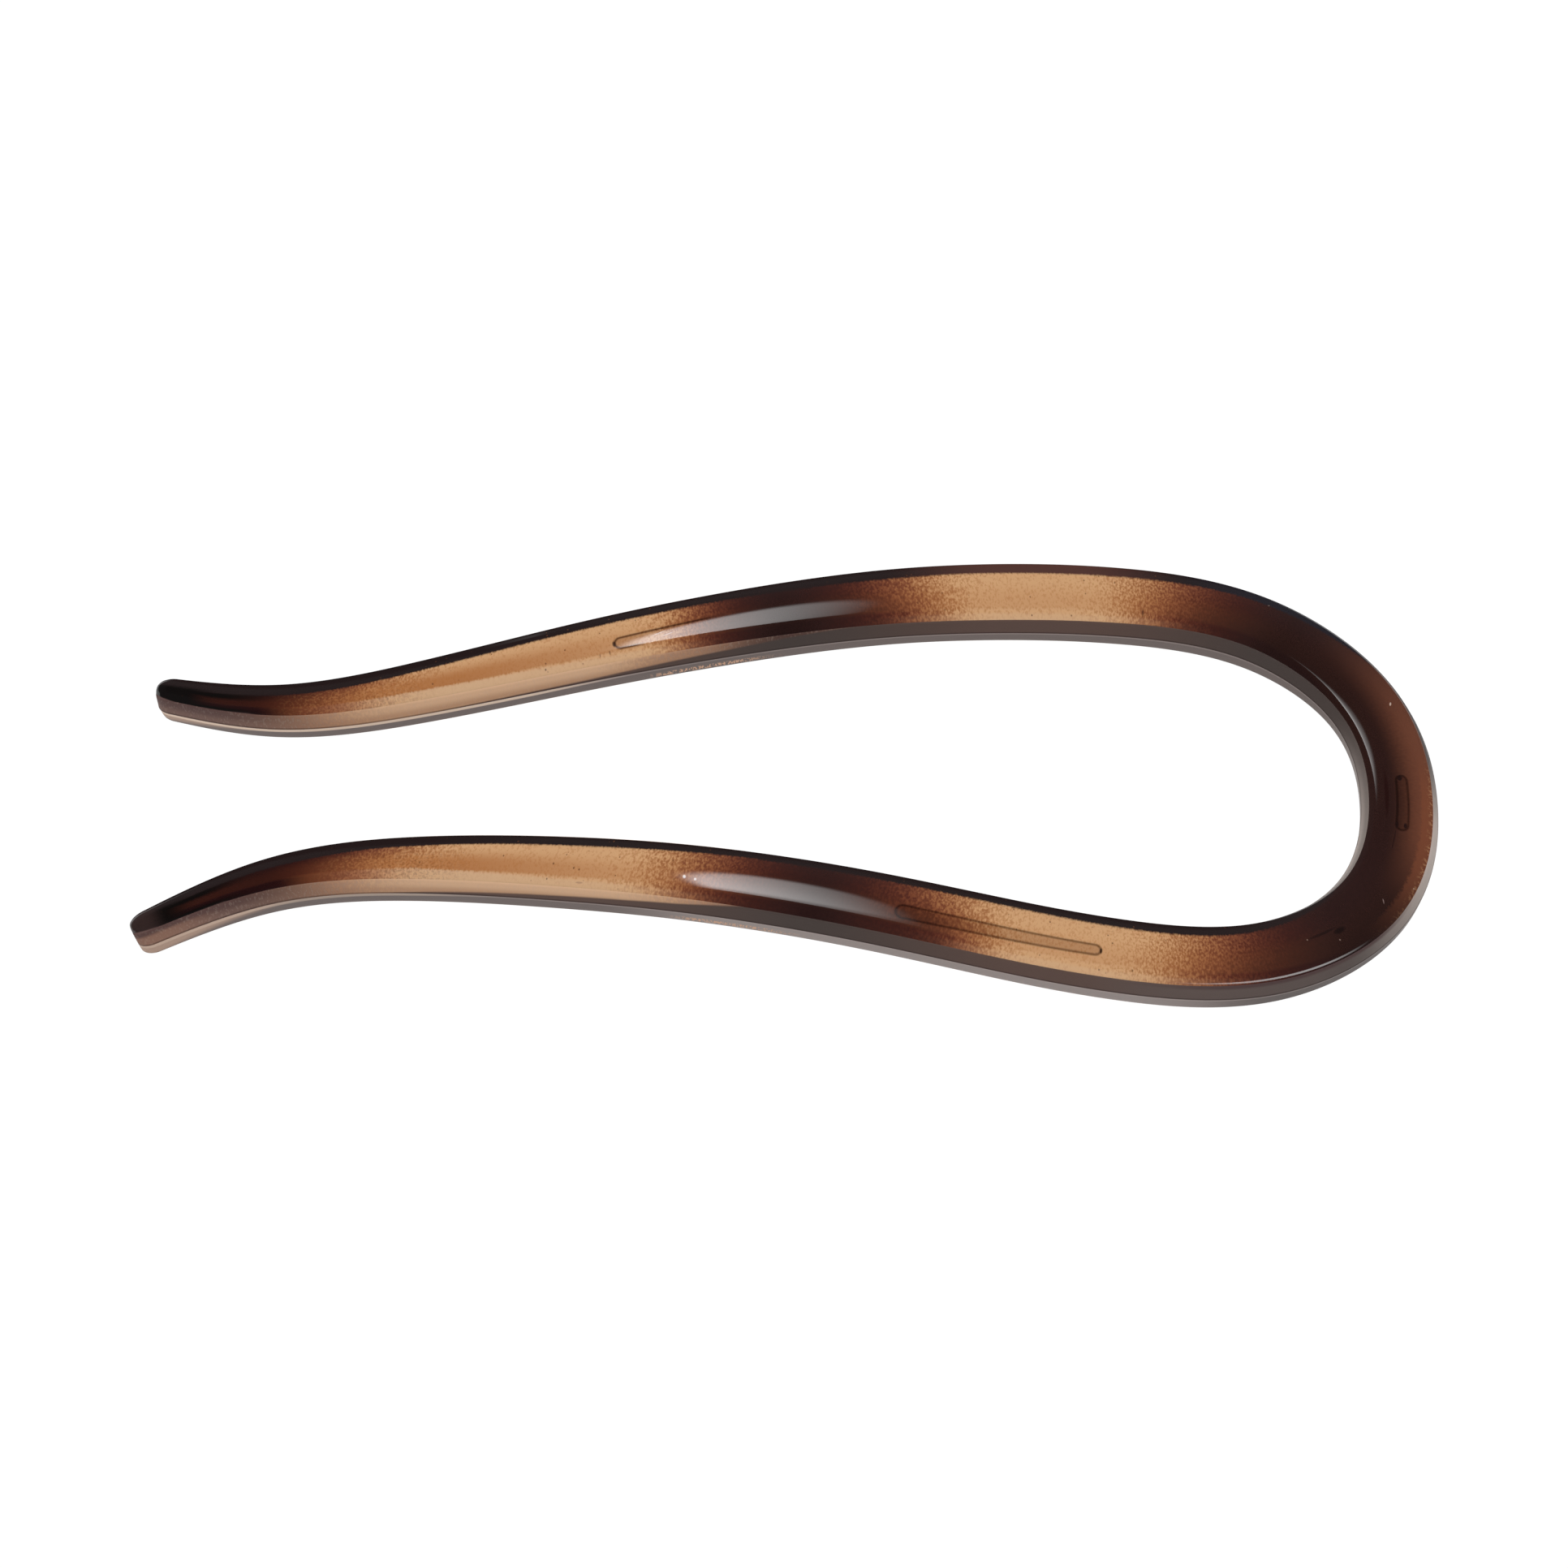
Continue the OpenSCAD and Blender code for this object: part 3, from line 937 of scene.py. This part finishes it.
def makeWallMaterial():
    values = wallValues
    made, tree, shader = newMaterial("tortoiseSatin", *values["finish"])
    flow = attribute(tree, "flow")
    along = splitVector(flow)[0]
    across, wall = splitVector(attribute(tree, "share"))[::2]
    zone, paint = shortForms(values, along)
    grain = placeGroup(grainGroup, flow)["Grain"]

    # the bands reach the walls a little nearer to the tips than they do on the top
    shift = minus(zone("shiftOnward"), zone("shiftBack"))
    shifted = sloped(shift, values["bandShift"], along)
    bands = placeGroup(bandGroup, shifted, grain, values["grainShare"])
    clear = maths("SUBTRACT", 1.0, bands["Pigment"], clamp=True)
    # painted shade: the shaded wall is grey, browner where the bands are clear
    shadedWall = paint(linear(*values["greyColour"]), clear, "brownColour")

    # painted light round the bend: the wall is paler there, fading through a browner stretch beside it,
    # with a darker top along the outside
    low, outerSide = zone("low", wall), zone("outerSide", across)
    innerBend = times(zone("innerBend"), sloped(low, *values["innerBendShares"]))
    shadedWall = paint(shadedWall, mixed(outerSide, innerBend, zone("outerBend")), "bendColour")
    shadedWall = paint(shadedWall, times(zone("besideBend"), outerSide, values["besideBendShare"]),
                 "besideBendColour")
    shadedWall = paint(shadedWall, times(zone("bendTop"), outerSide, zone("topPart", wall)), "bendTopColour")

    # painted shade and light: towards the tips the shade shrinks down the wall, and above it light through
    # the wall shows the bands in a pale veil, with painted shade towards its lower part
    creamy = paint(bands["Colour"], times(clear, values["creamShare"]), "creamLightColour")
    creamy = paint(creamy, times(low, clear), "lowShadeColour", "MULTIPLY")
    veil = paint(linear(*values["tipVeilColour"]), low, "tipLowVeilColour")
    veilShare = times(sloped(zone("tips"), *values["veilShares"]), bands["Pigment"])
    creamy = blendColours(veilShare, creamy, veil)
    tipEnd = times(zone("tipEnd"), zone("underTopPart", wall), values["tipEndShare"])
    creamy = paint(creamy, tipEnd, "tipEndColour")
    pastWallShadow = zone("pastWallShadow", minus(wall, alongCurve(along, values["wallShadowTop"])))
    upper = blendColours(pastWallShadow, shadedWall, creamy)
    sparkles = times(zone("sparkles", grain), pastWallShadow, values["sparkleShare"])
    upper = paint(upper, sparkles, "sparkleColour")

    # lower strip: taupe, paler on the lower leg, with painted light round the bend and painted shade beside
    # it, and a peach wedge at each tip
    strip = paint(linear(*values["stripColour"]), zone("stripLower"), "stripLowerColour")
    strip = paint(strip, zone("stripBeside"), "stripBesideColour")
    stripBend = times(zone("stripBend"), sloped(outerSide, *values["stripBendShares"]))
    strip = paint(strip, stripBend, "stripBendColour")
    wedge = most(*[sloped(along, slope, start) for slope, start in values["wedges"]])
    peach = times(zone("peach", maths("ADD", wall, wedge)), zone("stripTip"))
    strip = paint(strip, peach, "stripTipColour")
    glints = times(zone("copper"), zone("glints", wall), zone("glintGrain", grain))
    strip = paint(strip, glints, "copperColour")
    colour = blendColours(zone("overLine", wall), strip, upper)

    # a thin shadow above the parting line and a pale line below it
    colour = paint(colour, times(zone("shadow", wall), values["shadowShare"]), "partingShadowColour")
    lineTips = zone("lineTips")
    lineColour = paint(linear(*values["partingColour"]), lineTips, "partingTipColour")
    pastLine = minus(wall, sloped(lineTips, *values["lineHeights"]))
    lineShare = sloped(zone("lineUpperTip"), *values["lineShares"])
    paleLine = times(zone("paleLine", pastLine), zone("belowLine", wall), lineShare)
    colour = blendColours(paleLine, colour, lineColour)

    # the underside shows the bands through a grey satin veil
    underside = paint(bands["Colour"], values["underShare"], "stripColour")
    colour = blendColours(zone("under", wall), colour, underside)
    feed(shader.inputs["Base Color"], colour)
    addRelief(shader, noise(scaled(flow, values["satinPerMm"])), values["relief"])
    return made


mesh.materials.append(makeTopMaterial())
mesh.materials.append(makeWallMaterial())
mesh.polygons.foreach_set("material_index", np.where(polished, 0, 1).astype(np.int32))
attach(bar, "root")
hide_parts("pin")
print("materials:", ", ".join(m.name for m in mesh.materials))


# Camera at the photograph's angle, found from the pin's outline and edges

cameraValues = {
    "elevation": 52.84,
    "azimuth": -4.65,
    "roll": -4.03,
    "distance": 0.6105,
    "pixelsPerMetre": 12170.0,  # at the object's origin, in an image of 1932 x 1932
    "imageSize": 1932,
    "aimRight": -0.00046,
    "aimUp": 0.00356,
}


def makeCamera():
    values = cameraValues
    elevation, azimuth, roll = (math.radians(values[name]) for name in ("elevation", "azimuth", "roll"))
    ahead = Vector((math.sin(azimuth) * math.cos(elevation), math.cos(azimuth) * math.cos(elevation),
                    -math.sin(elevation)))
    flatRight = ahead.cross(Vector((0, 0, 1))).normalized()
    flatUp = flatRight.cross(ahead)
    right = math.cos(roll) * flatRight + math.sin(roll) * flatUp
    up = math.cos(roll) * flatUp - math.sin(roll) * flatRight
    place = -values["distance"] * ahead
    look = (right * values["aimRight"] + up * values["aimUp"] - place).normalized()
    right = look.cross(up).normalized()
    up = right.cross(look)
    data = bpy.data.cameras.new("photoCamera")
    data.sensor_width = 36
    data.lens = data.sensor_width * values["pixelsPerMetre"] * values["distance"] / values["imageSize"]
    data.clip_start = 0.01
    camera = bpy.data.objects.new("photoCamera", data)
    camera.matrix_world = Matrix.Translation(place) @ Matrix((right, up, -look)).transposed().to_4x4()
    bpy.context.scene.collection.objects.link(camera)
    bpy.context.scene.camera = camera


# Plain studio: white floor, a pale room and soft lights

studioValues = {
    "floorSize": 8.0,
    "floorFinish": (0.9, 0.0, 0.0, 0.0),
    "floorColour": (60, 60, 60),
    "floorGlow": 1.0,
    # the room's grey at each height of the direction, and the grey that the camera sees
    "room": [(0.0, 0.08), (0.45, 0.08), (0.90, 0.02), (1.0, 0.02)],
    "seenRoom": 0.95,
    # each light: its direction, distance, width and height in metres, turn in degrees, and brightness
    "behind": ((0.0, 0.42, 0.91), 3.0, 1.3, 1.44, 0, 9.3),
    "right": ((0.64, -0.13, 0.757), 1.2, 0.34, 0.84, 48, 6.5),
    "above": ((0.0, -0.1, 1.0), 2.0, 2.6, 2.6, 0, 2.18),
    # how the light behind fades from full to the least: from left to right, then from overhead to behind
    "fades": [(-0.16, 0.165, 0.0), (0.33, 0.62, 0.65)],
    # its rounded back: the middle, the reach to the left, to the right and backwards, and the soft rim
    "backMiddle": (-0.01, 0.30),
    "backReach": (0.178, 0.20, 0.29),
    "backRim": (1.10, 0.88),
    # how far from its middle the light on the right is gone, and still full
    "rightFade": (0.44, 0.154),
}


def makeFloor():
    half = studioValues["floorSize"] / 2
    corners = [(-half, -half, 0), (half, -half, 0), (half, half, 0), (-half, half, 0)]
    floor = bpy.data.meshes.new("studioFloor")
    floor.from_pydata(corners, [], [(0, 1, 2, 3)])
    made, _, shader = newMaterial("studioFloor", *studioValues["floorFinish"])
    shader.inputs["Base Color"].default_value = linear(*studioValues["floorColour"])
    shader.inputs["Emission Color"].default_value = (1, 1, 1, 1)
    shader.inputs["Emission Strength"].default_value = studioValues["floorGlow"]
    floor.materials.append(made)
    item = bpy.data.objects.new("studioFloor", floor)
    bpy.context.scene.collection.objects.link(item)


def makeWorld():
    # a dim room that is darkest overhead, seen as white behind the floor
    world = bpy.data.worlds.new("studioRoom")
    world.use_nodes = True
    tree = world.node_tree
    height = splitVector(addNode(tree, "ShaderNodeTexCoord").outputs["Generated"])[2]
    room = ramp(height, [(at, (grey, grey, grey, 1)) for at, grey in studioValues["room"]], "EASE")
    seen = addNode(tree, "ShaderNodeLightPath").outputs["Is Camera Ray"]
    white = (studioValues["seenRoom"],) * 3 + (1,)
    feed(tree.nodes["Background"].inputs["Color"], blendColours(seen, room, white))
    bpy.context.scene.world = world


def addSoftbox(name, light, glossy=True, diffuse=True):
    # an area light that faces the pin, given by the brightness of its face and turned in its plane
    direction, distance, width, height, turn, brightness = light
    data = bpy.data.lights.new(name, "AREA")
    data.shape = "RECTANGLE"
    data.size = width
    data.size_y = height
    data.energy = brightness * math.pi * width * height
    data.use_nodes = True
    place = Vector(direction).normalized() * distance
    facing = place.to_track_quat("Z", "Y").to_matrix().to_4x4()
    item = bpy.data.objects.new(name, data)
    item.matrix_world = Matrix.Translation(place) @ facing @ Matrix.Rotation(math.radians(turn), 4, "Z")
    item.visible_camera = False
    item.visible_glossy = glossy
    item.visible_diffuse = diffuse
    bpy.context.scene.collection.objects.link(item)
    return data.node_tree, place


def lampPosition(tree):
    return addNode(tree, "ShaderNodeNewGeometry").outputs["Position"]


def fadeBehind(tree):
    # brightest low on the left, fading to the right and backwards, with a rounded back
    position = lampPosition(tree)
    distance = addNode(tree, "ShaderNodeVectorMath", {"operation": "LENGTH"}, {0: position})
    sideways, onward = (maths("DIVIDE", part, distance.outputs["Value"])
                        for part in splitVector(position)[:2])
    (middleX, middleY), (left, right, back) = studioValues["backMiddle"], studioValues["backReach"]
    leftward = maths("DIVIDE", minus(middleX, sideways), left)
    rightward = maths("DIVIDE", minus(sideways, middleX), right)
    backward = most(maths("DIVIDE", minus(onward, middleY), back), 0.0)
    radius = diagonal(most(leftward, rightward), backward)
    strength = step(radius, *studioValues["backRim"])
    for value, (full, gone, least) in zip((sideways, onward), studioValues["fades"]):
        inputs = {"Value": value, "From Min": full, "From Max": gone, "To Min": 1.0, "To Max": least}
        fading = addNode(tree, "ShaderNodeMapRange", None, inputs)
        strength = times(strength, fading.outputs["Result"])
    feed(tree.nodes["Emission"].inputs["Strength"], strength)


def fadeEnds(tree, middle):
    # full in the middle, fading to nothing towards the ends
    ends = {0: lampPosition(tree), 1: middle}
    gap = addNode(tree, "ShaderNodeVectorMath", {"operation": "DISTANCE"}, ends).outputs["Value"]
    feed(tree.nodes["Emission"].inputs["Strength"], step(gap, *studioValues["rightFade"]))


def makeStudio():
    makeFloor()
    makeWorld()
    fadeBehind(addSoftbox("softboxBehind", studioValues["behind"])[0])
    fadeEnds(*addSoftbox("softboxRight", studioValues["right"], diffuse=False))
    addSoftbox("fillAbove", studioValues["above"], glossy=False)
    view = bpy.context.scene.view_settings
    view.view_transform = "Standard"
    view.look = "None"


makeCamera()
makeStudio()
print("camera, floor and lights placed")
